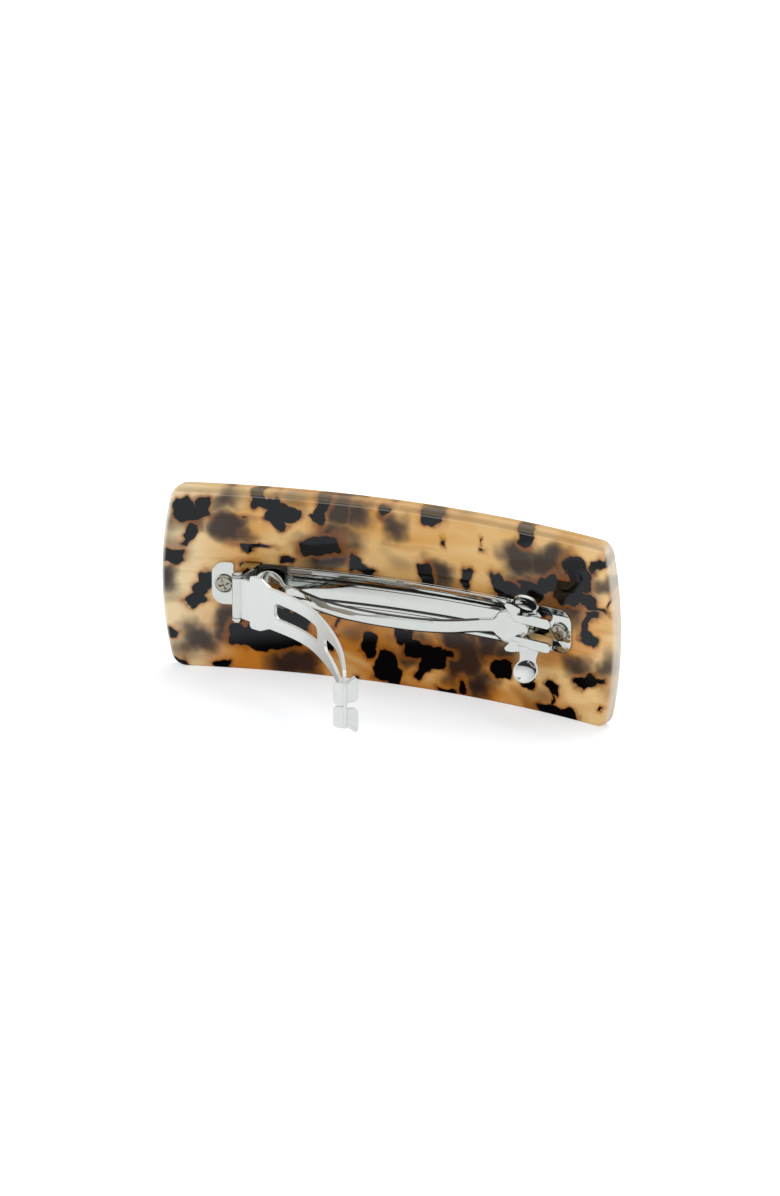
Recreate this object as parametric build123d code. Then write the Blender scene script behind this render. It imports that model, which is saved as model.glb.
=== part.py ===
from build123d import *
import os
from math import asin, cos, radians, sin, sqrt

# A French barrette lying on its long edge: a bowed acetate plate with an automatic
# steel clip screwed to its concave face. X runs along the clip from the hinge to the
# catch, Z runs up across the plate, and the clip faces -Y. The origin is on the lower
# long edge, in the middle of its thickness. Lengths are millimetres.
#
# "Height" is the distance from the plate's concave face towards the clip side, and
# "across" is the distance from the clip's centreline towards +Z.

# ---- driving dimensions -------------------------------------------------------------
PLATE_LENGTH = 100.9
PLATE_WIDTH = 39.6
PLATE_THICKNESS = 3.5
PLATE_RADIUS = 166.0        # of the concave face
END_BULGE = 2.4             # how far each short end bows out
CORNER_RADIUS = 3.2
EDGE_ROUND = 1.0            # polished rounding of the plate's edges

CLIP_Z = 19.0               # height of the clip's centreline above the resting edge
CLIP_WIDTH = 9.2
STRIP = 0.7                 # steel strip thickness of the base
SEAT_GAP = 0.03             # between steel and acetate, and between stacked steel parts

SCREW_X = 37.4
SCREW_HEAD_RADIUS = 1.8
SCREW_SHANK_RADIUS = 0.8
SCREW_DEPTH = 2.4
SEAT_DEPTH = 0.35           # of the screw heads' recess in the base

PIN_X = -31.4
PIN_HEIGHT = 8.25           # of the pin's axis above the concave face at PIN_X
PIN_RADIUS = 0.6
PIN_HALF = 5.5
PIN_HEAD_RADIUS = 0.95
KNUCKLE_RADIUS = 1.2
RUNNING_CLEARANCE = 0.06

ARM_THICKNESS = 0.7
ARM_WIDTH = 8.9
ARM_TAPER = 0.35            # narrowing of each side towards the head
ARM_OPEN = 47.5             # degrees from closed to the position at rest

BAR_THICKNESS = 0.6
BAR_WIDTH = 2.9

LEG_THICKNESS = 0.6
LEG_HEIGHT = 4.5            # of the catch legs' middle surface
LEG_INNER = 1.57
LEG_OUTER = 3.6
LEG_END = 36.6
LEG_WALL = 4.6              # outer face of the upright that carries each leg
WALL_START, WALL_END = 26.2, 29.5
EAR_LEAN = 51.0             # degrees the ears lean outwards
EAR_RADIUS = 2.65
EAR_X = 31.5                # where the ear's neck leaves the leg
EAR_CENTRE = (0.6, 5.0)     # of the round pad, along and out from the neck's foot
EAR_HALF_THICKNESS = 0.3
DISH_RADIUS = 4.8           # of the hollow in the pad
DISH_RIM = 0.35             # flat rim left around the hollow

CENTRE_Y = -(PLATE_THICKNESS / 2 + PLATE_RADIUS)
UPWARDS = (Align.CENTER, Align.CENTER, Align.MIN)
DOWNWARDS = (Align.CENTER, Align.CENTER, Align.MAX)


# ---- shared geometry ----------------------------------------------------------------
def at(x, height):
    """Point in plan at x, at a height above the plate's face."""
    return (x, CENTRE_Y + sqrt((PLATE_RADIUS - height) ** 2 - x**2))


def normal_plane(x, height, across=0.0):
    """Plane square to the normal that leaves the face at x: its z points out of it."""
    angle = asin(x / PLATE_RADIUS)
    radius = PLATE_RADIUS - height
    return Plane(
        origin=(radius * sin(angle), CENTRE_Y + radius * cos(angle), CLIP_Z + across),
        x_dir=(cos(angle), -sin(angle), 0),
        z_dir=(-sin(angle), -cos(angle), 0),
    )


def layer(low, high):
    """Sheet that follows the plate between two heights, over the whole width."""
    ring = Circle(PLATE_RADIUS - low) - Circle(PLATE_RADIUS - high)
    return extrude(Pos(0, CENTRE_Y, -5) * ring, PLATE_WIDTH + 10)


def through(outline, depth=60):
    """An outline drawn in X (along) and Y (across) pushed through the clip along Y."""
    plane = Plane(origin=(0, 0, CLIP_Z), x_dir=(1, 0, 0), z_dir=(0, -1, 0))
    return extrude(plane * outline, depth / 2, both=True)


def sheet(low, high, outline):
    return layer(low, high) & through(outline)


def ribbon(curve, thickness, half_width):
    """Band of sheet metal: a curve in plan, thickened, as wide as 2 half_width in Z."""
    band = trace(curve, thickness)
    return extrude(Pos(0, 0, CLIP_Z - half_width) * band, 2 * half_width)


def block(start, end, low, high):
    """Rectangle from start to end along the clip, and from low to high across it."""
    return Pos((start + end) / 2, (low + high) / 2) * Rectangle(end - start, high - low)


def both_sides(shape):
    """A shape and its mirror image across the clip's centreline."""
    return [shape, mirror(shape, Plane.XY.offset(CLIP_Z))]


def write(name, shape):
    export_step(shape, f"parts/{name}.step")


# ---- acetate plate ------------------------------------------------------------------
def plate():
    half, high = PLATE_LENGTH / 2, PLATE_WIDTH / 2
    corner = half - END_BULGE
    shift = high - CLIP_Z
    outline = make_face(
        [
            Line((-corner, -high + shift), (corner, -high + shift)),
            ThreePointArc((corner, -high + shift), (half, shift), (corner, high + shift)),
            Line((corner, high + shift), (-corner, high + shift)),
            ThreePointArc((-corner, high + shift), (-half, shift), (-corner, -high + shift)),
        ]
    )
    outline = fillet(outline.vertices(), CORNER_RADIUS)
    body = sheet(-PLATE_THICKNESS, 0, outline)
    body = fillet(body.edges().filter_by(lambda e: not is_across(e)), EDGE_ROUND)
    hole = Cylinder(SCREW_SHANK_RADIUS + SEAT_GAP, SCREW_DEPTH, align=DOWNWARDS)
    for side in (-1, 1):
        body -= normal_plane(side * SCREW_X, 0) * hole
    return body


def is_across(edge):
    """True for the short edges that run through the plate's thickness."""
    return abs(edge.tangent_at(0.5).Y) > 0.7 and edge.length < 2 * PLATE_THICKNESS


# ---- base bar -----------------------------------------------------------------------
RAIL_START, RAIL_END = -23.5, 25.0
RAIL_WIDTH = 1.15
RAIL_TOP, RIDGE_TOP = 1.7, 1.25
TAB_END = 39.8
LUG_INNER, LUG_OUTER = 4.42, 4.92
LUG_CROWN = 1.25
LUG_FOOT = 1.7              # half length of each lug where it leaves the base


def right_tab():
    tab = block(32.8, TAB_END, -CLIP_WIDTH / 2, CLIP_WIDTH / 2)
    tab = fillet(tab.vertices().group_by(Axis.X)[-1], 2.7)
    slot = Pos(28.3, 2.75) * SlotOverall(14.2, 2.7)
    return tab - slot - mirror(slot, Plane.XZ)


def left_tab():
    tab = block(-TAB_END, -35.4, -CLIP_WIDTH / 2, CLIP_WIDTH / 2)
    tab = fillet(tab.vertices().group_by(Axis.X)[0], 2.6)
    tab = fillet(tab.vertices().group_by(Axis.X)[-1], 0.6)
    neck = block(-36.0, -33.0, -3.7, 2.3)
    return tab + neck


def base():
    half = CLIP_WIDTH / 2
    floor = block(-33.4, 30.0, -half, half)
    floor = fillet(floor.vertices().group_by(Axis.X)[-1], 1.2)
    floor += block(PIN_X - LUG_FOOT, PIN_X + LUG_FOOT, -LUG_OUTER, LUG_OUTER)
    strip = block(29, 35, -1.7, 1.7)
    outline = floor + strip + left_tab() + right_tab()
    body = sheet(SEAT_GAP, STRIP, outline)

    rail_outline = fillet(block(RAIL_START, RAIL_END, half - RAIL_WIDTH, half).vertices(), 0.5)
    rail = sheet(STRIP - 0.1, RAIL_TOP, rail_outline)
    rail = fillet(rail.faces().sort_by(lambda f: layer_height(f.center()))[-1].edges(), 0.3)
    notch = normal_plane(0.6, RAIL_TOP, half) * Box(1.6, 1.0, 0.7)
    body += both_sides(rail - notch)

    ridge_outline = fillet(block(RAIL_START + 0.6, RAIL_END - 1.5, 1.75, 2.55).vertices(), 0.35)
    ridge = sheet(STRIP - 0.1, RIDGE_TOP, ridge_outline)
    ridge = fillet(ridge.faces().sort_by(lambda f: layer_height(f.center()))[-1].edges(), 0.2)
    body += both_sides(ridge)

    body += both_sides(lug())
    for side in (-1, 1):
        seat = normal_plane(side * SCREW_X, STRIP)
        body -= seat * Cylinder(SCREW_HEAD_RADIUS + 0.25, 2 * SEAT_DEPTH)
        body -= seat * Cylinder(SCREW_SHANK_RADIUS + 0.2, 4)
    return body


def layer_height(point):
    return PLATE_RADIUS - sqrt(point.X**2 + (point.Y - CENTRE_Y) ** 2)


def lug():
    """Upright ear of the base that carries the hinge pin."""
    px, py = at(PIN_X, PIN_HEIGHT)
    foot_left, foot_right = at(PIN_X - LUG_FOOT, STRIP / 2), at(PIN_X + LUG_FOOT, STRIP / 2)
    crown = Pos(px, py) * Circle(LUG_CROWN)
    shank = make_face(
        Polyline(foot_left, foot_right, (px + 1.15, py + 0.6), (px - 1.15, py + 0.6), close=True)
    )
    profile = crown + shank - Pos(px, py) * Circle(PIN_RADIUS + 0.02)
    return extrude(Pos(0, 0, CLIP_Z + LUG_INNER) * profile, LUG_OUTER - LUG_INNER)


# ---- hinge pin ----------------------------------------------------------------------
def hinge_pin():
    px, py = at(PIN_X, PIN_HEIGHT)
    body = Cylinder(PIN_RADIUS, 2 * LUG_OUTER)
    head_start = LUG_OUTER + SEAT_GAP
    head = Pos(0, 0, (head_start + PIN_HALF) / 2) * Cylinder(PIN_HEAD_RADIUS, PIN_HALF - head_start)
    head = fillet(head.edges().group_by(Axis.Z)[-1], 0.3)
    body += Pos(0, 0, LUG_OUTER) * Cylinder(PIN_RADIUS, 0.4)
    body += head
    body += Pos(0, 0, -LUG_OUTER) * Cylinder(PIN_RADIUS, 0.4)
    body += mirror(head, Plane.XY)
    return Pos(px, py, CLIP_Z) * body


# ---- clasp arm ----------------------------------------------------------------------
HEAD_START, HEAD_END = 65.3, 67.6       # along the closed arm, from the pin
WAIST_START = 59.5
HEAD_SLOPE = 18.0                       # of the head, away from the base
FLAP = 0.5                              # sheet thickness of the folded tip
FLAP_LENGTH = 2.5
LEAF_LEAN = 22.0                        # of the tip's leaves, back from the ridge
KNUCKLE_HALF = LUG_INNER - 0.12


def arm_curve():
    """Middle line of the closed arm, from the hinge to the head, as seen in plan."""
    points = [(0.3, -0.15), (10.2, -4.6), (20, -7.6), (31, -7.9), (45, -6.2), (56, -3.3), (HEAD_END, 0.6)]
    return [arm_point(*p) for p in points]


def arm_point(along, out):
    """Plan position in the closed arm's frame: along X from the pin, out towards -Y."""
    px, py = at(PIN_X, PIN_HEIGHT)
    return (px + along, py - out)


def arm_outline():
    half = ARM_WIDTH / 2
    root = block(0.0, 5.0, -KNUCKLE_HALF, KNUCKLE_HALF)
    shoulder = make_face(
        Polyline((3.6, -5.8), (6.4, -5.6), (8.8, -half), (8.8, half), (6.4, 5.6), (3.6, 5.8), close=True)
    )
    shoulder = fillet(shoulder.vertices().group_by(Axis.X)[0], 0.8)
    tip = half - ARM_TAPER
    blade = make_face(Polyline((6, -half), (WAIST_START, -tip), (WAIST_START, tip), (6, half), close=True))
    blade = fillet(blade.vertices().group_by(Axis.X)[-1], 0.9)
    waist = block(WAIST_START - 2, HEAD_START + 1, -3.6, 3.6)
    head = block(HEAD_START, HEAD_END + 2, -half, half)
    short_slot = fillet(block(10.2, 27.2, -1.7, 1.7).vertices(), 1.3)
    long_slot = make_face(
        [
            ThreePointArc((32.6, -1.4), (31.6, 0), (32.6, 1.4)),
            Line((32.6, 1.4), (43.0, 2.5)),
            Line((43.0, 2.5), (57.0, 2.4)),
            ThreePointArc((57.0, 2.4), (59.4, 0), (57.0, -2.4)),
            Line((57.0, -2.4), (43.0, -2.5)),
            Line((43.0, -2.5), (32.6, -1.4)),
        ]
    )
    outline = root + shoulder + blade + waist + head - short_slot - long_slot
    return Pos(PIN_X, 0) * outline


def arm_head():
    """Folded tip: an outward lip, two flared cheeks and two flaps towards the base."""
    slope = radians(HEAD_SLOPE)
    along = Vector(cos(slope), -sin(slope), 0)
    inward = Vector(sin(slope), cos(slope), 0)
    start = Vector(*arm_point(HEAD_START, -0.35), CLIP_Z)
    length = (HEAD_END - HEAD_START) / cos(slope)
    half = ARM_WIDTH / 2
    tip = start + along * (length - FLAP)
    lean = radians(LEAF_LEAN)
    back = Plane(origin=start, x_dir=(0, 0, -1), z_dir=along)
    flap_plane = Plane(origin=tip, x_dir=(0, 0, -1), z_dir=along * cos(lean) + inward * sin(lean))
    lip_plane = Plane(origin=tip, x_dir=(0, 0, -1), z_dir=along * cos(lean) - inward * sin(lean))
    ridge_plane = Plane(origin=tip, x_dir=(0, 0, -1), z_dir=along)

    flare = Polyline((half - 0.6, 0), (half, 0), (half + 1.2, 1.8), (half + 0.6, 2.0), close=True)
    cheek = extrude(back * make_face(flare), length - 0.5)
    flap = make_face(
        Polyline(
            (0.6, 0), (half, 0), (half + 1.4, 1.9), (half + 0.9, FLAP_LENGTH),
            (1.4, FLAP_LENGTH), (0.6, 1.8), close=True,
        )
    )
    flap = fillet(flap.vertices().group_by(Axis.Y)[-1], 0.35)
    lip_side, lip_end = half + 0.3, -FLAP_LENGTH
    lip = make_face(Polyline((0.2, 0.2), (lip_side, 0.2), (lip_side, lip_end), (0.2, lip_end), close=True))
    lip = fillet(lip.vertices().group_by(Axis.Y)[0], 0.9)
    ridge = extrude(ridge_plane * Rectangle(2 * half, 0.5), FLAP)
    leaves = both_sides(extrude(flap_plane * flap, FLAP)) + both_sides(extrude(lip_plane * lip, FLAP))
    return both_sides(cheek) + leaves + [ridge]


def clasp_arm():
    px, py = at(PIN_X, PIN_HEIGHT)
    curve = Spline(arm_curve())
    blade = ribbon(curve, ARM_THICKNESS, 8) & through(arm_outline())
    knuckle = Pos(px, py, CLIP_Z) * Cylinder(KNUCKLE_RADIUS, 2 * KNUCKLE_HALF)
    body = blade + knuckle
    body += arm_head()
    body -= Pos(px, py, CLIP_Z) * Cylinder(PIN_RADIUS + RUNNING_CLEARANCE, 20)
    opened = Pos(px, py, 0) * Rot(0, 0, -ARM_OPEN) * Pos(-px, -py, 0)
    return opened * body


# ---- tension bar --------------------------------------------------------------------
def tension_bar():
    """Bowed strip spring between the base and the arm, with a paddle at each end."""
    points = [(-31.4, 1.15), (-24.6, 2.6), (-14.2, 8.6), (2.8, 12.5), (16.5, 9.3), (23.3, 4.9), (30.4, 3.5)]
    curve = Spline([at(*p) for p in points])
    left = Pos(-27.4, 0) * Ellipse(3.8, 3.8)
    right = Pos(26.4, 0) * Ellipse(3.2, 3.7)
    tongue = block(28.0, 30.9, -1.35, 1.35)
    outline = left + block(-27, 27, -BAR_WIDTH / 2, BAR_WIDTH / 2) + right + tongue
    return ribbon(curve, BAR_THICKNESS, 6) & through(outline)


# ---- catch legs ---------------------------------------------------------------------
def catch_leg(side):
    """Spring leg of the catch with its squeeze ear. Side is +1 above, -1 below."""
    line = Polyline(at(25.0, LEG_HEIGHT - 0.1), at(31.4, LEG_HEIGHT), at(37.0, LEG_HEIGHT))
    strip = block(29.0, LEG_END, LEG_INNER, LEG_OUTER)
    strip = fillet(strip.vertices().group_by(Axis.X)[-1], 0.95)
    wing = make_face(
        Polyline(
            (28.2, LEG_INNER), (30.4, LEG_INNER), (30.4, LEG_OUTER), (WALL_END, LEG_WALL),
            (27.2, LEG_WALL + 0.6), (26.0, LEG_WALL + 0.6), (25.7, LEG_WALL), close=True,
        )
    )
    body = ribbon(line, LEG_THICKNESS, 8) & through(strip + wing)
    wall = block(WALL_START, WALL_END, LEG_WALL - 0.5, LEG_WALL)
    body += sheet(STRIP + 0.05, LEG_HEIGHT, wall)
    body += ear()
    return body if side > 0 else mirror(body, Plane.XY.offset(CLIP_Z))


def ear():
    """Squeeze ear above the clip: a waisted neck and a round pad, hollow on its inner face."""
    lean = radians(EAR_LEAN)
    foot_x, foot_y = at(EAR_X, LEG_HEIGHT)
    plane = Plane(
        origin=(foot_x, foot_y, CLIP_Z + LEG_OUTER - 0.1),
        x_dir=(-1, 0, 0),
        z_dir=(0, sin(lean), cos(lean)),
    )
    neck = make_face(
        [
            Line((2.7, 0), (-2.6, 0)),
            ThreePointArc((-2.6, 0), (-2.2, 1.5), (-2.5, 3.3)),
            Line((-2.5, 3.3), (1.3, 3.3)),
            ThreePointArc((1.3, 3.3), (1.6, 1.5), (2.7, 0)),
        ]
    )
    pad = Pos(-EAR_CENTRE[0], EAR_CENTRE[1])
    blade = extrude(plane * (neck + pad * Circle(EAR_RADIUS)), EAR_HALF_THICKNESS, both=True)
    hollow_radius = EAR_RADIUS - DISH_RIM
    sphere_depth = EAR_HALF_THICKNESS + sqrt(DISH_RADIUS**2 - hollow_radius**2)
    boss = Pos(0, 0, EAR_HALF_THICKNESS) * Cylinder(hollow_radius, 0.7)
    boss = fillet(boss.edges().group_by(Axis.Z)[-1], 0.3)
    hollow = Pos(0, 0, -sphere_depth) * Sphere(DISH_RADIUS)
    return blade + plane * pad * boss - plane * pad * hollow


# ---- screws -------------------------------------------------------------------------
HEAD_STAND = 0.75           # height of a screw's head above the base
RECESS_LENGTH, RECESS_WIDTH, RECESS_DEPTH = 2.3, 0.5, 0.55
RECESS_TURN = 20.0


def screw(x):
    top = STRIP + HEAD_STAND
    bottom = STRIP - SEAT_DEPTH + SEAT_GAP
    head = Pos(0, 0, bottom) * Cylinder(SCREW_HEAD_RADIUS, top - bottom, align=UPWARDS)
    head = fillet(head.edges().group_by(Axis.Z)[-1], 0.45)
    shank_top = STRIP - 0.2
    shank = Cylinder(SCREW_SHANK_RADIUS, SCREW_DEPTH - 0.2 + shank_top, align=DOWNWARDS)
    body = head + Pos(0, 0, shank_top) * shank
    wing = Pos(0, 0, top) * Box(RECESS_LENGTH, RECESS_WIDTH, 2 * RECESS_DEPTH)
    body -= Rot(0, 0, RECESS_TURN) * wing
    body -= Rot(0, 0, RECESS_TURN + 90) * wing
    return normal_plane(x, 0) * body


# ---- write every piece --------------------------------------------------------------
os.makedirs("parts", exist_ok=True)
write("acetate_plate", plate())
write("base_bar", base())
write("hinge_pin", hinge_pin())
write("clasp_arm", clasp_arm())
write("tension_bar", tension_bar())
write("catch_leg_upper", catch_leg(1))
write("catch_leg_lower", catch_leg(-1))
write("screw_left", screw(-SCREW_X))
write("screw_right", screw(SCREW_X))
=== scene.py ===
from math import cos, pi, radians, sin, sqrt

import bmesh
import bpy
import numpy as np
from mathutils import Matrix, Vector


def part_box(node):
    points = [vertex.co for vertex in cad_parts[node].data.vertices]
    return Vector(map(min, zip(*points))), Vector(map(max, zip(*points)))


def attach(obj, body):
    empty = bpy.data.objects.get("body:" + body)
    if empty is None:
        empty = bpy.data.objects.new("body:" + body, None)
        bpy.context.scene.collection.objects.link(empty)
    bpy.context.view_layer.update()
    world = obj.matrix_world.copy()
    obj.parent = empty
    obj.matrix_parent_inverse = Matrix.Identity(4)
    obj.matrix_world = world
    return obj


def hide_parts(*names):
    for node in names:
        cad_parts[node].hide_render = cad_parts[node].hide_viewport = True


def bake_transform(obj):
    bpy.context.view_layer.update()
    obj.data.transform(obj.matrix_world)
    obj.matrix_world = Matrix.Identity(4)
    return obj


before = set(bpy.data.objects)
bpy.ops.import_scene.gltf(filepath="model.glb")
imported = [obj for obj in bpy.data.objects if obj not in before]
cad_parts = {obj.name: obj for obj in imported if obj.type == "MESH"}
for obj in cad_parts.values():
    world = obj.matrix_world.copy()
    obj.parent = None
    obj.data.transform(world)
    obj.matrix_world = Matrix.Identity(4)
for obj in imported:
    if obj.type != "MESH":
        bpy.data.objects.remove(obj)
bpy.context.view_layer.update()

# A tortoiseshell acetate barrette with an automatic steel clip, standing on its long edge.
# The frame is in metres. Sizes and places below are in millimetres, and MM converts them.
MM = 0.001

PLATE_LOW, PLATE_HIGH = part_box("acetate_plate")
PLATE_LENGTH = (PLATE_HIGH.x - PLATE_LOW.x) / MM
PLATE_WIDTH = (PLATE_HIGH.z - PLATE_LOW.z) / MM
PLATE_THICKNESS = 3.5
PLATE_RADIUS = 166.0            # of the hollow face
CENTRE_Y = -(PLATE_THICKNESS / 2 + PLATE_RADIUS)
END_BULGE = 2.4                 # how far each short end bows out
EDGE_ROUND = 1.0                # rounding of the plate's edges
FACE_TOP = PLATE_WIDTH - EDGE_ROUND
CLIP_Z = 19.0                   # height of the clip's centreline
PIN_PLACE = (-31.4, -13.16)     # X and Y of the hinge pin


def srgb(r, g, b):
    """A colour as a screen shows it, 0 to 255, as the linear values that shaders take."""
    def linear(c):
        c /= 255
        return c / 12.92 if c <= 0.04045 else ((c + 0.055) / 1.055) ** 2.4
    return (linear(r), linear(g), linear(b), 1.0)


# ---- node helpers -------------------------------------------------------------------
class Shader:
    """A material's node tree, with short calls that add a node and return its output."""

    def __init__(self, name):
        self.material = bpy.data.materials.new(name)
        self.material.use_nodes = True
        self.tree = self.material.node_tree
        self.tree.nodes.clear()
        self.surface = self.tree.nodes.new("ShaderNodeBsdfPrincipled")
        output = self.tree.nodes.new("ShaderNodeOutputMaterial")
        self.tree.links.new(self.surface.outputs["BSDF"], output.inputs["Surface"])

    def put(self, value, socket):
        """Links an output to the socket, or sets the socket to a constant."""
        if isinstance(value, bpy.types.NodeSocket):
            self.tree.links.new(value, socket)
        else:
            socket.default_value = value

    def math(self, operation, *values):
        n = self.tree.nodes.new("ShaderNodeMath")
        n.operation = operation
        for value, socket in zip(values, n.inputs):
            self.put(value, socket)
        return n.outputs[0]

    def vector(self, operation, *values, scale=None):
        n = self.tree.nodes.new("ShaderNodeVectorMath")
        n.operation = operation
        for value, socket in zip(values, n.inputs):
            self.put(value, socket)
        if scale is not None:
            self.put(scale, n.inputs["Scale"])
        return n.outputs["Value" if operation in ("LENGTH", "DOT_PRODUCT") else "Vector"]

    def split(self, vector):
        n = self.tree.nodes.new("ShaderNodeSeparateXYZ")
        self.put(vector, n.inputs[0])
        return n.outputs

    def combine(self, x, y, z):
        n = self.tree.nodes.new("ShaderNodeCombineXYZ")
        for value, socket in zip((x, y, z), n.inputs):
            self.put(value, socket)
        return n.outputs[0]

    def noise(self, vector, scale, detail=2.0, roughness=0.5, distortion=0.0):
        n = self.tree.nodes.new("ShaderNodeTexNoise")
        self.put(vector, n.inputs["Vector"])
        n.inputs["Scale"].default_value = scale
        n.inputs["Detail"].default_value = detail
        n.inputs["Roughness"].default_value = roughness
        n.inputs["Distortion"].default_value = distortion
        return n.outputs

    def stretched_noise(self, place, stretch, scale, detail=2.0, roughness=0.5, distortion=0.0):
        """Noise value from 0 to 1, drawn out along the axes whose stretch is below 1."""
        scaled = self.vector("MULTIPLY", place, stretch)
        return self.noise(scaled, scale, detail, roughness, distortion)["Fac"]

    def ramp(self, value, start, end, low=0.0, high=1.0):
        """Smooth step: low at start and on its far side, high at end and on its far side."""
        n = self.tree.nodes.new("ShaderNodeMapRange")
        n.interpolation_type = "SMOOTHSTEP"
        names = ("Value", "From Min", "From Max", "To Min", "To Max")
        for name, v in zip(names, (value, start, end, low, high)):
            self.put(v, n.inputs[name])
        return n.outputs[0]

    def mix(self, factor, a, b):
        """Colour from a, where factor is 0, to b, where it is 1."""
        n = self.tree.nodes.new("ShaderNodeMix")
        n.data_type = "RGBA"
        colour_a, colour_b, colour_out = n.inputs[6], n.inputs[7], n.outputs[2]
        self.put(factor, n.inputs["Factor"])
        self.put(a, colour_a)
        self.put(b, colour_b)
        return colour_out

    def place(self):
        """The shaded point in the frame of the parts, in millimetres."""
        n = self.tree.nodes.new("ShaderNodeTexCoord")
        return self.vector("SCALE", n.outputs["Object"], scale=1 / MM)

    def height(self, x, y):
        """How far the shaded point stands above the plate's hollow face, in millimetres."""
        bent = self.combine(x, self.math("SUBTRACT", y, CENTRE_Y), 0.0)
        return self.math("SUBTRACT", PLATE_RADIUS, self.vector("LENGTH", bent))

    def bump(self, height, distance, normal=None):
        """Normal of a surface raised by height times a distance in metres."""
        n = self.tree.nodes.new("ShaderNodeBump")
        n.inputs["Strength"].default_value = 1.0
        n.inputs["Distance"].default_value = distance
        self.put(height, n.inputs["Height"])
        if normal is not None:
            self.put(normal, n.inputs["Normal"])
        return n.outputs[0]

    def rounded(self, radius):
        """Normal that rounds sharp edges by a radius in metres."""
        n = self.tree.nodes.new("ShaderNodeBevel")
        n.samples = 4
        n.inputs["Radius"].default_value = radius
        return n.outputs[0]


# ---- tortoiseshell acetate ----------------------------------------------------------
# Each blotch: X, Z, half length, half height in millimetres, and tilt in degrees.
# Dark ones lie at the hollow face. Deep ones lie at the far face and look blurred here.
DARK_BLOTCHES = [
    # left end
    (-45.6, 34.4, 2.2, 2.6, 15), (-41.9, 35.0, 1.6, 2.3, 0), (-43.8, 33.6, 1.9, 1.2, 0),
    (-44.6, 29.4, 1.2, 1.8, -30), (-45.4, 27.8, 0.7, 1.3, -30), (-48.7, 24.3, 2.7, 1.5, 0),
    (-43.3, 14.9, 2.3, 1.7, 30), (-41.6, 18.4, 1.5, 2.8, -30), (-48.3, 7.4, 1.5, 0.9, -15),
    (-47.0, 0.8, 2.0, 1.3, 0), (-38.4, 0.9, 1.5, 1.0, 15),
    # upper left
    (-30.4, 38.0, 1.5, 2.4, 0), (-27.5, 35.6, 1.7, 2.9, 0), (-24.0, 34.9, 2.4, 1.6, 0),
    (-25.8, 32.6, 1.5, 1.5, 45), (-17.1, 36.6, 1.3, 3.6, -15), (-18.6, 34.2, 1.1, 1.0, 0),
    (-31.0, 27.3, 2.6, 0.45, 0), (-33.0, 26.8, 1.1, 0.9, 0), (-32.9, 22.4, 1.6, 1.3, 0),
    (-17.6, 28.5, 4.2, 1.9, 15), (-24.4, 24.9, 1.5, 1.0, 0), (-10.1, 25.6, 1.3, 1.9, 0),
    (-8.0, 24.6, 2.4, 1.0, -15), (-3.6, 37.9, 1.5, 0.65, 45), (-33.3, 34.1, 0.4, 0.2, 45),
    # lower left
    (-34.2, 7.4, 2.6, 2.1, -15), (-30.0, 6.9, 3.6, 2.6, 0), (-25.5, 7.3, 3.6, 2.3, 15),
    (-25.6, 12.6, 3.0, 1.7, -15), (-21.8, 11.6, 2.2, 1.7, -15), (-30.2, 10.0, 2.4, 1.6, 0),
    (-15.3, 8.0, 1.4, 1.9, 0), (-6.7, 8.2, 1.9, 2.6, -15), (-3.4, 4.2, 2.0, 3.6, -15),
    (-1.6, 1.9, 1.8, 1.9, 0), (-9.6, 1.0, 0.5, 0.4, 0), (-13.3, 12.6, 0.25, 1.3, -30),
    # middle
    (0.8, 11.2, 2.0, 1.9, 0), (4.2, 8.6, 3.4, 1.9, 0), (7.1, 7.2, 2.7, 2.6, 15),
    (4.7, 4.5, 1.2, 1.9, -30), (10.6, 8.9, 1.4, 0.8, 0), (10.6, 0.5, 1.9, 0.6, 0),
    (13.9, 2.0, 0.9, 1.6, 15), (6.9, 38.1, 2.4, 1.9, 0), (9.6, 33.2, 0.4, 0.8, 0),
    (18.2, 34.7, 0.2, 0.5, 30), (18.7, 32.9, 0.5, 0.4, 0), (5.3, 25.4, 1.6, 2.5, 15),
    (14.6, 26.0, 1.2, 2.1, -15), (22.9, 7.8, 2.3, 1.9, 0),
    (31.5, 22.3, 4.2, 1.0, 0),
    # right end
    (28.6, 37.8, 1.9, 2.3, 0), (22.2, 25.8, 1.5, 2.4, 15), (25.2, 24.9, 2.6, 1.6, 0),
    (29.6, 25.4, 3.2, 2.0, 15), (40.6, 32.4, 2.6, 3.1, 30), (42.7, 30.6, 1.8, 2.3, 0),
    (38.6, 27.4, 3.6, 2.3, 15), (34.0, 28.6, 2.6, 1.6, 30), (46.0, 35.2, 0.8, 2.9, -45),
    (43.8, 26.6, 2.2, 1.4, 0), (46.9, 25.8, 1.5, 0.35, -15), (49.0, 27.2, 0.25, 1.0, -15),
    (44.8, 24.2, 2.0, 0.8, 15), (43.2, 21.8, 0.9, 2.2, -15), (43.7, 18.8, 2.0, 1.6, -15),
    (43.0, 8.9, 2.5, 1.3, 15), (46.1, 10.2, 1.5, 0.8, 15), (35.2, 6.4, 1.6, 1.2, -30),
    (29.3, 5.4, 1.6, 0.8, 0), (36.4, 0.6, 4.6, 1.7, 0), (35.3, 3.6, 0.25, 1.4, 0),
    (47.1, 4.1, 0.4, 0.4, 0),
]
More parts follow.
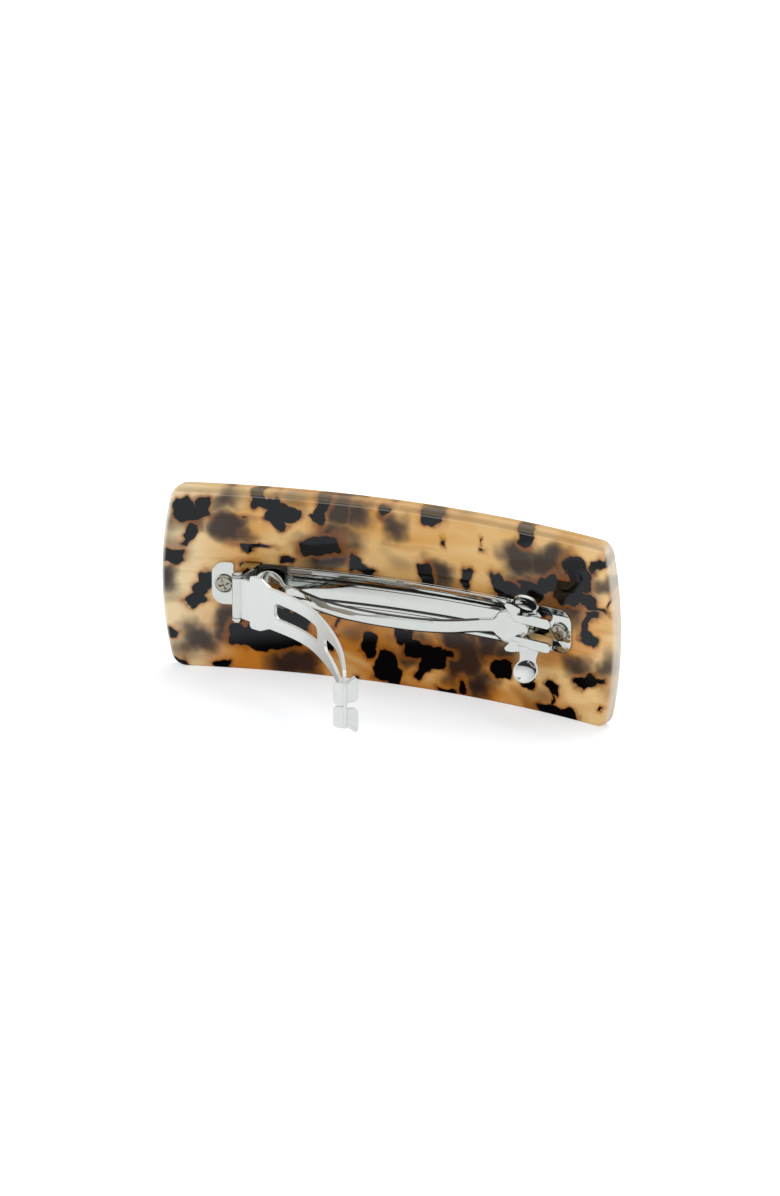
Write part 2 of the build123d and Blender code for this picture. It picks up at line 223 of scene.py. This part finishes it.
DEEP_BLOTCHES = [
    (-36.9, 31.2, 3.6, 3.2, -15), (-34.0, 29.6, 2.2, 1.4, -30), (-37.4, 37.4, 3.0, 1.9, 15),
    (-49.0, 20.2, 2.2, 2.0, 0), (-36.4, 10.0, 3.2, 4.0, 0), (-22.5, 3.0, 5.0, 3.6, 0),
    (-13.6, 36.8, 3.4, 3.8, 0), (-9.0, 36.2, 2.6, 3.0, 0), (-15.8, 28.6, 6.2, 3.6, 15),
    (-1.2, 34.4, 2.2, 2.4, 0), (2.4, 8.0, 4.0, 3.4, 0), (13.6, 8.8, 4.2, 6.0, 15),
    (17.6, 10.4, 1.6, 3.0, 15), (8.2, 25.4, 3.6, 2.8, 0), (27.4, 32.2, 4.6, 3.6, 15),
    (34.4, 32.6, 5.0, 3.8, 15), (37.6, 29.0, 7.0, 4.6, 15), (47.6, 31.0, 3.6, 1.4, 15),
    (41.0, 12.6, 3.0, 2.2, 0), (47.2, 13.0, 1.6, 3.2, -30), (38.6, 23.4, 4.0, 2.8, 0),
    (19.8, 12.2, 3.0, 3.4, 0),
    (24.0, 10.4, 2.6, 2.2, 0), (-42.5, 6.4, 3.2, 2.6, 0), (18.5, 3.5, 2.8, 2.6, 0),
    (-45.0, 33.0, 3.4, 3.2, 0), (28.4, 26.4, 6.0, 2.6, 15),
]
PALE = srgb(232, 208, 164)
CREAM = srgb(228, 188, 126)
HONEY = srgb(214, 158, 78)
AMBER = srgb(184, 110, 30)
RIM_BROWN = srgb(104, 52, 16)
SMOKE = srgb(40, 29, 28)
DARK_BROWN = srgb(8, 5, 5)
# Colours of the painted reflections and painted highlight along the plate's edges.
EDGE_REFLECTION_TAUPE = srgb(140, 122, 96)
EDGE_HIGHLIGHT_PALE = srgb(238, 230, 216)

OUT_OF_REACH = 50.0             # a distance longer than any to a blotch that shows
BLOTCH_BLEND = 0.25             # how softly neighbouring blotches melt together
DARK_BLUR = (0.10, 1.40)        # half width of an outline at the hollow face and at the far face
DEEP_BLUR = (1.8, 0.2)
DEEP_GROWTH = 0.5               # how far the deep blotches spread past their listed size
AMBER_GLOW = (1.9, 0.2)         # distances from a dark blotch over which the ground turns amber
BROWN_RIM = (0.7, 0.0)          # and over which it turns brown
PALE_ENDS = (34.0, 48.0)        # distances from the middle over which the ground turns pale
AMBER_FOOT = (26.0, 4.0)        # heights over which it turns amber
# Painted reflections along the plate's edges: a taupe band along the top, a fine pale highlight line
# under it, and pale bands along the short ends.
TOP_REFLECTION_BAND = (FACE_TOP - 0.6, FACE_TOP)
TOP_HIGHLIGHT_LINE = FACE_TOP - 0.65    # height of the fine painted highlight line under the top edge
END_REFLECTION_BAND = (-1.1, -0.2)         # painted pale reflection band along the short ends, from the outline inwards


def tilted(s, point, tilt):
    """The point seen from axes that are turned by a tilt in degrees."""
    c, d = cos(radians(tilt)), sin(radians(tilt))
    along = s.vector("DOT_PRODUCT", point, (c, d, 0))
    across = s.vector("DOT_PRODUCT", point, (-d, c, 0))
    return s.combine(along, across, 0.0)


def blotch_distance(s, point, blotches):
    """Rough distance in millimetres from the outline of the nearest blotch, below 0 inside.
    The outlines are rounded boxes."""
    turned = {tilt: tilted(s, point, tilt) for tilt in sorted({blotch[4] for blotch in blotches})}
    nearest = OUT_OF_REACH
    for x, z, length, height, tilt in blotches:
        c, d = cos(radians(tilt)), sin(radians(tilt))
        centre = (-(c * x + d * z) / length, -(c * z - d * x) / height, 0)
        local = s.vector("MULTIPLY_ADD", turned[tilt], (1 / length, 1 / height, 0), centre)
        squared = s.vector("MULTIPLY", local, local)
        size = min(length, height) / 2
        outline = s.math("MULTIPLY_ADD", s.vector("LENGTH", squared), size, -size)
        nearest = s.math("SMOOTH_MIN", nearest, outline, BLOTCH_BLEND)
    return nearest


def swirl(s, place, scale, detail, reach):
    """Random offset of up to about a quarter of reach, in millimetres."""
    noise = s.noise(place, scale, detail, 0.55)["Color"]
    return s.vector("SCALE", s.vector("SUBTRACT", noise, (0.5, 0.5, 0.5)), scale=reach)


def blurred_mask(s, distance, depth_share, blur):
    """1 inside the blotches and 0 outside, over an outline whose width changes with depth."""
    near, far = blur
    width = s.math("MULTIPLY_ADD", depth_share, far - near, near)
    return s.ramp(distance, width, s.math("MULTIPLY", width, -1.0))


def ground_colour(s, place, x, z):
    """Honey with cream clouds, more amber lower down, paler ends, amber streaks and smoky haze."""
    cloud = s.stretched_noise(place, (0.5, 1.0, 1.0), 0.075, distortion=1.0)
    haze = s.stretched_noise(place, (0.7, 1.0, 1.0), 0.13, detail=1.0)
    streak = s.stretched_noise(place, (0.10, 0.5, 1.0), 0.40)
    near_end = s.ramp(s.math("ABSOLUTE", x), *PALE_ENDS)
    left_end_paler = s.ramp(x, -10.0, 10.0, low=0.95, high=0.2)
    ends = s.math("MULTIPLY", near_end, left_end_paler)
    lower = s.ramp(z, *AMBER_FOOT, high=0.9)
    colour = s.mix(s.ramp(cloud, 0.36, 0.64), HONEY, CREAM)
    colour = s.mix(s.math("MULTIPLY", lower, s.ramp(cloud, 0.66, 0.4)), colour, AMBER)
    colour = s.mix(ends, colour, PALE)
    colour = s.mix(s.ramp(streak, 0.54, 0.72, high=0.35), colour, AMBER)
    return s.mix(s.ramp(haze, 0.54, 0.74, high=0.6), colour, SMOKE)


def painted_edge_reflections(s, colour, x, z):
    """Painted reflections: taupe and a fine pale highlight line along the top edge, and pale short ends.
    They stand for what the polished edges mirror in the photo. The ends' bow is centred on the clip's
    line."""
    # painted reflection: taupe band along the top edge
    colour = s.mix(s.ramp(z, *TOP_REFLECTION_BAND, high=0.45), colour, EDGE_REFLECTION_TAUPE)
    # painted highlight: fine pale line under the top edge
    from_line = s.math("ABSOLUTE", s.math("SUBTRACT", z, TOP_HIGHLIGHT_LINE))
    colour = s.mix(s.ramp(from_line, 0.22, 0.04, high=0.16), colour, EDGE_HIGHLIGHT_PALE)
    # painted reflection: pale band along the short ends
    across = s.math("MULTIPLY_ADD", z, 2 / PLATE_WIDTH, -2 * CLIP_Z / PLATE_WIDTH)
    bow = s.math("MULTIPLY_ADD", s.math("POWER", across, 2.0), END_BULGE, -PLATE_LENGTH / 2)
    from_end = s.math("ADD", s.math("ABSOLUTE", x), bow)
    return s.mix(s.ramp(from_end, *END_REFLECTION_BAND, high=0.6), colour, EDGE_HIGHLIGHT_PALE)


def tortoiseshell():
    """Acetate with blotches inside it: the same ones show sharp on one face, blurred on the other."""
    s = Shader("tortoiseshell_acetate_look")
    place = s.place()
    x, y, z = s.split(place)
    flat = s.combine(x, z, 0.0)
    depth_share = s.ramp(s.height(x, y), 0.0, -PLATE_THICKNESS)

    slow = s.vector("ADD", flat, swirl(s, place, 0.16, 2.0, 7.0))
    bends = s.vector("ADD", flat, swirl(s, place, 0.30, 1.0, 3.0))
    quick = s.vector("ADD", bends, swirl(s, place, 0.7, 1.0, 0.9))
    dark = blotch_distance(s, quick, DARK_BLOTCHES)
    deep = s.math("SUBTRACT", blotch_distance(s, slow, DEEP_BLOTCHES), DEEP_GROWTH)
    dark_mask = blurred_mask(s, dark, depth_share, DARK_BLUR)
    deep_mask = blurred_mask(s, deep, depth_share, DEEP_BLUR)

    colour = ground_colour(s, place, x, z)
    colour = s.mix(s.math("MULTIPLY", deep_mask, 0.96), colour, SMOKE)
    colour = s.mix(s.ramp(dark, *AMBER_GLOW, high=0.35), colour, AMBER)
    colour = s.mix(s.ramp(dark, *BROWN_RIM, high=0.6), colour, RIM_BROWN)
    colour = s.mix(dark_mask, colour, DARK_BROWN)
    s.put(painted_edge_reflections(s, colour, x, z), s.surface.inputs["Base Color"])

    hairline = s.stretched_noise(place, (0.3, 1.0, 3.0), 3.0)
    s.put(s.ramp(hairline, 0.3, 0.8, low=0.03, high=0.08), s.surface.inputs["Roughness"])
    polish = s.noise(place, 0.12, 1.0)["Fac"]
    s.put(s.bump(polish, 0.04 * MM), s.surface.inputs["Normal"])
    s.surface.inputs["IOR"].default_value = 1.49
    s.surface.inputs["Specular Tint"].default_value = (0.82, 0.90, 1.0, 1.0)
    return s.material


# ---- steel --------------------------------------------------------------------------
# The dark lines and shades are painted. They stand for what the steel mirrors in the photo.
STEEL = srgb(236, 239, 237)
SCREW_TINT = srgb(188, 185, 172)
# Colours of the painted dark reflections and of the painted grey shade on the steel.
PAINTED_REFLECTION_DARK = srgb(30, 28, 26)
SHADE_GREY = srgb(128, 126, 122)
BASE_REFLECTION_LINES = ((1.75, 2.55, 3.45), (-23.5, 24.8))    # painted dark reflection lines: offsets from the centreline, and ends in X
# Painted dark reflection line along the tension bar: offset from the centreline, and ends in X.
BAR_REFLECTION_LINES = ((1.34,), (-20.0, 21.0))
LINE_FADE = 0.6                 # length over which a line fades in at its ends
LINE_HALF_WIDTHS = (0.26, 0.12)  # outside the first there is no line, inside the second it is full
KNUCKLE_REACH = (1.3, 2.0)      # from the pin's axis: mirror-bright inside, satin outside
TAB_EDGE = (-34.5, -33.5)       # X where the left tab ends and the painted grey shade on the floor begins
HINGE_DARK_REFLECTION = ((-34.0, -32.5), (-23.7, -24.4))  # X over which the painted dark reflection on the floor fades in at each end
FLOOR_HEIGHT = (1.2, 0.9)       # above the hollow face: anything higher isn't floor


def painted_reflection_lines(s, place, colour, offsets, ends):
    """Painted dark reflection lines along a strip, at offsets from the clip's centreline, between two X.
    """
    x, y, z = s.split(place)
    off_centre = s.math("ABSOLUTE", s.math("SUBTRACT", z, CLIP_Z))
    start, end = ends
    after_start = s.ramp(x, start, start + LINE_FADE)
    before_end = s.ramp(x, end, end - LINE_FADE)
    along = s.math("MULTIPLY", after_start, before_end)
    for offset in offsets:
        away = s.math("ABSOLUTE", s.math("SUBTRACT", off_centre, offset))
        line = s.ramp(away, *LINE_HALF_WIDTHS, high=0.85)
        colour = s.mix(s.math("MULTIPLY", line, along), colour, PAINTED_REFLECTION_DARK)
    return colour


def painted_base_shade(s, place, colour):
    """Painted shade: a greyer upper half of the base's floor. Painted reflection: dark floor under the
    bar's paddle at the hinge.
    """
    x, y, z = s.split(place)
    across = s.math("SUBTRACT", z, CLIP_Z)
    # painted shade: the upper half of the floor turns grey
    upper = s.math("MULTIPLY", s.ramp(across, -0.4, 1.7, high=0.5), s.ramp(x, 20.0, -20.0))
    upper = s.math("MULTIPLY", upper, s.ramp(x, *TAB_EDGE))
    colour = s.mix(upper, colour, SHADE_GREY)
    # painted dark reflection on the floor near the hinge
    near_floor = s.ramp(s.height(x, y), *FLOOR_HEIGHT)
    left_end, right_end = HINGE_DARK_REFLECTION
    hinge_dark_reflection = s.math("MULTIPLY", near_floor, s.ramp(x, *right_end))
    hinge_dark_reflection = s.math("MULTIPLY", hinge_dark_reflection, s.ramp(x, *left_end, high=0.85))
    return s.mix(hinge_dark_reflection, colour, PAINTED_REFLECTION_DARK)


def steel(
    name, smooth, rough, edge, waviness, tint=STEEL, metallic=1.0, knuckle=False, lines=None, base=False,
):
    """Plated stamped steel with fine polish marks. Smooth and rough are about the least and most
    roughness. Edge is the radius that softens its edges, and waviness the height of slow dents."""
    s = Shader(name)
    place = s.place()
    marks = s.stretched_noise(place, (0.25, 1.0, 2.0), 5.0, detail=3.0, roughness=0.6)
    tarnish = s.noise(place, 0.5, 2.0)["Fac"]
    polish = s.ramp(marks, 0.3, 0.8, low=smooth, high=rough)
    finish = s.math("MULTIPLY_ADD", s.ramp(tarnish, 0.45, 0.75), 0.03, polish)
    if knuckle:
        pin_x, pin_y = PIN_PLACE
        from_pin = s.vector("LENGTH", s.vector("MULTIPLY_ADD", place, (1, 1, 0), (-pin_x, -pin_y, 0)))
        finish = s.math("MULTIPLY", finish, s.ramp(from_pin, *KNUCKLE_REACH, low=0.2))
        metallic = s.ramp(from_pin, *KNUCKLE_REACH, low=1.0, high=metallic)
    s.put(finish, s.surface.inputs["Roughness"])
    dull = tuple(c * 0.92 for c in tint[:3]) + (1.0,)
    colour = s.mix(s.ramp(tarnish, 0.4, 0.8, high=0.3), tint, dull)
    # Base adds painted shade and a painted dark reflection to the colour.
    if base:
        colour = painted_base_shade(s, place, colour)
    # Lines adds painted dark reflection lines to the colour.
    if lines:
        colour = painted_reflection_lines(s, place, colour, *lines)
    s.put(colour, s.surface.inputs["Base Color"])
    s.put(metallic, s.surface.inputs["Metallic"])
    wave = s.stretched_noise(place, (0.12, 0.4, 1.0), 0.6, detail=1.0)
    s.put(s.bump(wave, waviness * MM, normal=s.rounded(edge * MM)), s.surface.inputs["Normal"])
    return s.material


def paint(piece, material):
    piece.data.materials.clear()
    piece.data.materials.append(material)


# ---- tension bar --------------------------------------------------------------------
# The strip spring flattens when the arm closes.
BAR_HALF_THICKNESS = 0.3
BAR_HALF_WIDTH = 1.45
BAR_LEAST_HALF_WIDTH = 0.12             # at the very tips
BAR_CROWN = 0.12                        # bulge of the outer face
BAR_CORNER = 0.2
BAR_HEIGHTS = [                         # X, and height above the plate's hollow face
    (-31.4, 1.15), (-24.6, 2.6), (-14.2, 8.6), (2.8, 12.5), (16.5, 9.3), (23.3, 4.9), (30.4, 3.5),
]
BAR_ENDS = {-1: -31.15, 1: 30.8}        # X of the hinge end and of the catch end
BAR_SEAM = 1.0                          # X where the halves meet
BAR_SAMPLES, BAR_RINGS = 1200, 90       # places along the whole spline, and rings in each half
# Ovals in the strip's outline: X of the centre, half length, half width.
HINGE_PADDLE = (-27.4, 3.8, 3.8)
CATCH_PADDLE = (26.4, 3.2, 3.7)
TONGUE_TIP = (30.3, 0.55, 1.35)
TONGUE_START = 28.5


def at(x, height):
    """Point in plan, in millimetres, at a height above the plate's hollow face."""
    return np.array((x, CENTRE_Y + sqrt((PLATE_RADIUS - height) ** 2 - x * x)))


def spline(points, count):
    """Natural cubic spline through plan points, sampled at count places."""
    points = np.array(points)
    step = np.linalg.norm(np.diff(points, axis=0), axis=1)
    slope = np.diff(points, axis=0) / step[:, None]
    knots = np.concatenate(([0], np.cumsum(step)))
    matrix = np.eye(len(points))
    right = np.zeros_like(points)
    for i in range(1, len(points) - 1):
        matrix[i, i - 1:i + 2] = step[i - 1], 2 * (step[i - 1] + step[i]), step[i]
        right[i] = 6 * (slope[i] - slope[i - 1])
    bend = np.linalg.solve(matrix, right)
    places = np.linspace(0, knots[-1], count)
    spans = np.clip(np.searchsorted(knots, places) - 1, 0, len(step) - 1)
    h = step[spans, None]
    near = (places - knots[spans])[:, None]
    far = (knots[spans + 1] - places)[:, None]
    cubic = (bend[spans] * far**3 + bend[spans + 1] * near**3) / (6 * h)
    from_start = (points[spans] / h - bend[spans] * h / 6) * far
    from_end = (points[spans + 1] / h - bend[spans + 1] * h / 6) * near
    return cubic + (from_start + from_end)


def smooth_max(a, b, blend=0.5):
    return (a + b + sqrt((a - b) ** 2 + blend**2)) / 2


def oval(x, centre, half_length, half_width):
    return half_width * sqrt(max(0.0, 1 - ((x - centre) / half_length) ** 2))


def bar_half_width(x):
    """Half the strip's width at x: a paddle at each end, and a tongue beyond the right one."""
    if x < 0:
        paddle = oval(x, *HINGE_PADDLE)
        return smooth_max(BAR_HALF_WIDTH, paddle) if x > HINGE_PADDLE[0] else paddle
    paddle = oval(x, *CATCH_PADDLE)
    if x < TONGUE_START:
        return smooth_max(BAR_HALF_WIDTH, paddle)
    tongue = oval(max(x, TONGUE_TIP[0]), *TONGUE_TIP)
    paddle_end = CATCH_PADDLE[0] + CATCH_PADDLE[1]
    return smooth_max(tongue, paddle, blend=0.3) if x < paddle_end else tongue


def bar_section(half_width):
    """Outline across the strip: (across, outwards) points with rounded corners and a crown."""
    corner = min(BAR_CORNER, 0.7 * half_width)
    inner = half_width - corner
    points = []
    for turn in range(4):
        across_side = 1 if turn in (0, 3) else -1
        outer_side = 1 if turn in (0, 1) else -1
        for i in range(4):
            angle = (turn + i / 3) * pi / 2
            across = across_side * inner + corner * cos(angle)
            outwards = outer_side * (BAR_HALF_THICKNESS - corner) + corner * sin(angle)
            points.append((across, outwards))
        if turn == 0:
            points += [(inner * k / 4, BAR_HALF_THICKNESS) for k in range(3, -4, -1)]
    return [(v, n + BAR_CROWN * (1 - (v / half_width) ** 2) * (n > 0)) for v, n in points]


def bar_half(side):
    """Mesh of one half of the strip, in rings that lie closer together near its end."""
    line = spline([at(*p) for p in BAR_HEIGHTS], BAR_SAMPLES)
    end = BAR_ENDS[side]
    mesh = bmesh.new()
    rings = []
    for i in range(BAR_RINGS + 1):
        x = end + (BAR_SEAM - end) * (1 - cos(pi / 2 * i / BAR_RINGS))
        k = int(np.clip(np.searchsorted(line[:, 0], x), 1, len(line) - 2))
        share = (x - line[k - 1, 0]) / (line[k, 0] - line[k - 1, 0])
        centre = line[k - 1] + share * (line[k] - line[k - 1])
        along = line[k + 1] - line[k - 1]
        along /= np.linalg.norm(along)
        outwards = np.array((along[1], -along[0]))
        half_width = max(bar_half_width(x), BAR_LEAST_HALF_WIDTH)
        ring = []
        for v, n in bar_section(half_width):
            place = centre + outwards * n
            ring.append(mesh.verts.new((place[0] * MM, place[1] * MM, (CLIP_Z + v) * MM)))
        rings.append(ring)
    for a, b in zip(rings, rings[1:]):
        for i in range(len(a)):
            j = (i + 1) % len(a)
            mesh.faces.new((a[i], a[j], b[j], b[i]))
    mesh.faces.new(rings[0])
    bmesh.ops.recalc_face_normals(mesh, faces=mesh.faces)
    data = bpy.data.meshes.new("tension_bar_half")
    mesh.to_mesh(data)
    mesh.free()
    data.polygons.foreach_set("use_smooth", [True] * len(data.polygons))
    return data


def tension_bar(material):
    """The strip's two halves, which stand for the CAD's tension bar."""
    for side, name in ((-1, "tension_bar_hinge_half"), (1, "tension_bar_catch_half")):
        piece = bpy.data.objects.new(name, bar_half(side))
        bpy.context.scene.collection.objects.link(piece)
        paint(piece, material)
        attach(piece, "root")
        piece.parent = None
        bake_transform(piece)
        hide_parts("tension_bar")


# ---- light, floor and camera --------------------------------------------------------
# Places and sizes of the lights are in metres.
SKY_BELOW, SKY_ABOVE = (0.0, 0.55), (0.95, 0.90)    # sine of the elevation, and level
SKY_BAND = ((0.06, 0.60), (0.10, 0.05), (0.40, 0.02), (0.50, 0.55))
FLOOR_COLOUR = (0.36, 0.37, 0.385, 1)
FLOOR_GLOW_WITH_PAINTED_SHADOW = (0.575, 0.74)      # near the plate, lower, which paints a soft shadow where its shadow falls, and further away
FLOOR_REACH = (16.0, 66.0)      # distances over which the first turns into the second, in mm
MIRRORED_GLOW_WITH_PAINTED_SHADOW = (0.01, 0.80)    # close in front of the plate, dark as a painted shadow, and further away
MIRRORED_REACH = (22.0, 33.0)


def area_light(name, place, target, width, height, power):
    """Soft light that lights surfaces but isn't seen in reflections."""
    data = bpy.data.lights.new(name, "AREA")
    data.shape = "RECTANGLE"
    data.size = width
    data.size_y = height
    data.energy = power
    light = bpy.data.objects.new(name, data)
    bpy.context.scene.collection.objects.link(light)
    light.location = place
    light.visible_glossy = False
    light.rotation_euler = (Vector(target) - Vector(place)).to_track_quat("-Z", "Y").to_euler()


def studio():
    """Two soft lights in a pale room. A dark band low above the horizon gives the steel its
    dark streaks."""
    world = bpy.data.worlds.new("studio")
    bpy.context.scene.world = world
    world.use_nodes = True
    tree = world.node_tree
    background = tree.nodes["Background"]
    place = tree.nodes.new("ShaderNodeTexCoord")
    parts = tree.nodes.new("ShaderNodeSeparateXYZ")
    tree.links.new(place.outputs["Generated"], parts.inputs[0])
    ramp = tree.nodes.new("ShaderNodeValToRGB")
    for element, (position, level) in zip(ramp.color_ramp.elements, (SKY_BELOW, SKY_ABOVE)):
        element.position = position
        element.color = (level, level, level, 1)
    for position, level in SKY_BAND:
        ramp.color_ramp.elements.new(position).color = (level, level, level * 1.02, 1)
    tree.links.new(parts.outputs["Z"], ramp.inputs[0])
    tree.links.new(ramp.outputs[0], background.inputs["Color"])
    background.inputs["Strength"].default_value = 1.0
    area_light("overhead", (0.1, 0.35, 0.9), (0, 0, 0), width=0.9, height=0.7, power=9.0)
    area_light("front_fill", (-0.3, -1.0, 0.7), (0, 0, 0.02), width=1.0, height=0.6, power=5.5)


def plane(name, half, height):
    """Square stage piece, with half its side and its height in metres."""
    mesh = bpy.data.meshes.new(name)
    corners = [(x * half, y * half, height) for x, y in ((-1, -1), (1, -1), (1, 1), (-1, 1))]
    mesh.from_pydata(corners, [], [(0, 1, 2, 3)])
    obj = bpy.data.objects.new(name, mesh)
    bpy.context.scene.collection.objects.link(obj)
    return obj


def distance_on_floor(s, x_share, y_shift):
    """Millimetres from a point in front of the plate, with distances along X counted less."""
    x, y, z = s.split(s.place())
    return s.vector("LENGTH", s.combine(s.math("MULTIPLY", x, x_share), s.math("ADD", y, y_shift), 0.0))


def floor():
    """Pale table with a glow of its own, which keeps it near white around the shadow. The glow is lower
    near the plate, which paints a soft shadow there.
    """
    obj = plane("floor", 6.0, 0.0)
    obj.visible_glossy = False
    s = Shader("white_floor")
    grain = s.noise(s.place(), 0.02, 3.0)["Fac"]
    s.put(s.ramp(grain, 0.2, 0.8, low=0.55, high=0.62), s.surface.inputs["Roughness"])
    s.surface.inputs["Base Color"].default_value = FLOOR_COLOUR
    s.surface.inputs["Specular IOR Level"].default_value = 0.1
    s.surface.inputs["Emission Color"].default_value = (1, 1, 1, 1)
    # painted shadow: the glow is lower near the plate
    glow = s.ramp(distance_on_floor(s, 0.62, 10.0), *FLOOR_REACH, *FLOOR_GLOW_WITH_PAINTED_SHADOW)
    s.put(glow, s.surface.inputs["Emission Strength"])
    paint(obj, s.material)


def reflected_floor():
    """What the gloss sees of the table: pale, and dark close in front of the plate, a painted shadow. It
    lies just under the floor, and only reflections see it."""
    obj = plane("reflected_floor", 4.0, -0.5 * MM)
    for kind in ("camera", "diffuse", "shadow", "transmission", "volume_scatter"):
        setattr(obj, "visible_" + kind, False)
    s = Shader("reflected_floor_look")
    # painted shadow: dark close in front of the plate, seen only in reflections
    glow = s.ramp(distance_on_floor(s, 0.55, 4.0), *MIRRORED_REACH, *MIRRORED_GLOW_WITH_PAINTED_SHADOW)
    s.put(glow, s.surface.inputs["Emission Strength"])
    s.surface.inputs["Emission Color"].default_value = (0.99, 1.0, 0.985, 1)
    s.surface.inputs["Base Color"].default_value = (0, 0, 0, 1)
    s.surface.inputs["Specular IOR Level"].default_value = 0.0
    paint(obj, s.material)


# The photo's view. Distance is in metres, and lens and sensor are in millimetres.
VIEW_AZIMUTH, VIEW_ELEVATION = radians(22.8), radians(20.0)
VIEW_DISTANCE = 2.0
VIEW_CENTRE = Vector((-1.92, -2.79, 19.42)) * MM
LENS, SENSOR = 293.8, 36.0


def camera():
    data = bpy.data.cameras.new("camera")
    data.lens = LENS
    data.sensor_width = SENSOR
    data.clip_end = 20.0
    obj = bpy.data.objects.new("camera", data)
    bpy.context.scene.collection.objects.link(obj)
    away = Vector((
        sin(VIEW_AZIMUTH) * cos(VIEW_ELEVATION),
        -cos(VIEW_AZIMUTH) * cos(VIEW_ELEVATION),
        sin(VIEW_ELEVATION),
    ))
    obj.location = VIEW_CENTRE + away * VIEW_DISTANCE
    obj.rotation_euler = (-away).to_track_quat("-Z", "Y").to_euler()
    bpy.context.scene.camera = obj


# ---- put it together ----------------------------------------------------------------
bright = steel("bright_steel_look", smooth=0.04, rough=0.09, edge=0.14, waviness=0.10)
satin = steel(
    "satin_steel_look", smooth=0.32, rough=0.40, edge=0.15, waviness=0.01, metallic=0.6, knuckle=True,
)
spring = steel("spring_steel_look", smooth=0.03, rough=0.08, edge=0.14, waviness=0.10)
screw = steel("screw_steel_look", smooth=0.12, rough=0.22, edge=0.06, waviness=0.03, tint=SCREW_TINT)
acetate = tortoiseshell()
reflection_lined_base = steel(
    "base_steel_look", smooth=0.04, rough=0.09, edge=0.14, waviness=0.06, lines=BASE_REFLECTION_LINES, base=True,
)
reflection_lined_bar = steel("bar_steel_look", smooth=0.03, rough=0.08, edge=0.14, waviness=0.10, lines=BAR_REFLECTION_LINES)

looks = {
    "acetate_plate": acetate,
    "clasp_arm": satin,
    "base_bar": reflection_lined_base,
    "hinge_pin": bright,
    "catch_leg_upper": spring,
    "catch_leg_lower": spring,
    "screw_left": screw,
    "screw_right": screw,
}
for node, look in looks.items():
    paint(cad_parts[node], look)
tension_bar(reflection_lined_bar)

floor()
reflected_floor()
studio()
camera()
bpy.context.scene.view_settings.view_transform = "Standard"
